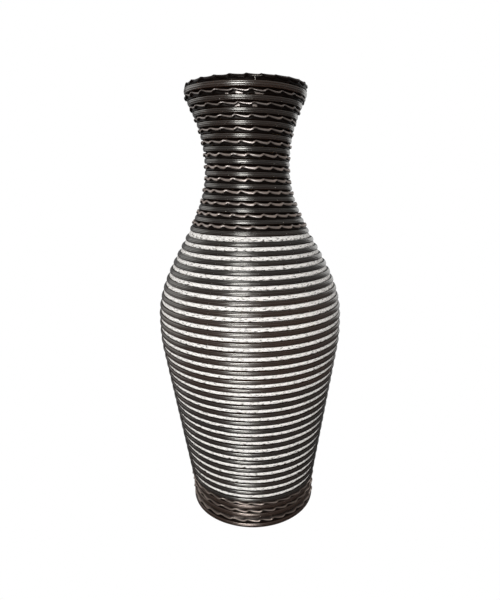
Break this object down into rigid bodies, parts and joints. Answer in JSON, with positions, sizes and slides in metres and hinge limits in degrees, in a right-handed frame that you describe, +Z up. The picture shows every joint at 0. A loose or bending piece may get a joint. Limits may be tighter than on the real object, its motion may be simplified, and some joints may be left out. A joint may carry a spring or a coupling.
{
  "type": "woven vase",
  "caption": "Tall floor vase woven from black and white strips and a twisted brown cord, wound round bamboo slats, with an open flared mouth and a flat base board to stand on",
  "frame": {"origin": "on the floor, at the middle of the base board's underside", "axes": "+Z up along the vase's axis; the front seen in the picture faces -Y; +X to the viewer's right"},
  "size_m": [0.2621, 0.2621, 0.6078],
  "materials": {
    "base_board": "plain plywood",
    "bamboo": "split bamboo, smooth skin side out",
    "twisted_cord": "dark brown plant fibre twisted from two flat strands",
    "black_strip": "glossy black half-round strip with fine ridges",
    "white_strip": "flat whitened bark strip with dark flecks"
  },
  "bodies": {
    "root": {"base_board": "base_board", "slat_01": "bamboo", "slat_02": "bamboo", "slat_03": "bamboo", "slat_04": "bamboo", "slat_05": "bamboo", "slat_06": "bamboo", "slat_07": "bamboo", "slat_08": "bamboo", "slat_09": "bamboo", "slat_10": "bamboo", "slat_11": "bamboo", "slat_12": "bamboo", "rim_hoop": "bamboo", "neck_hoop": "bamboo", "shoulder_hoop": "bamboo", "belly_hoop": "bamboo", "lower_hoop": "bamboo", "rim_cord": "twisted_cord", "neck_twisted_cord_upper": "twisted_cord", "neck_twisted_cord_lower": "twisted_cord", "foot_twisted_cord": "twisted_cord", "neck_black_strip_upper": "black_strip", "neck_black_strip_lower": "black_strip", "body_black_strip_upper": "black_strip", "body_black_strip_middle": "black_strip", "body_black_strip_lower": "black_strip", "foot_black_strip": "black_strip", "body_white_strip_upper": "white_strip", "body_white_strip_middle": "white_strip", "body_white_strip_lower": "white_strip"}
  },
  "joints": []
}
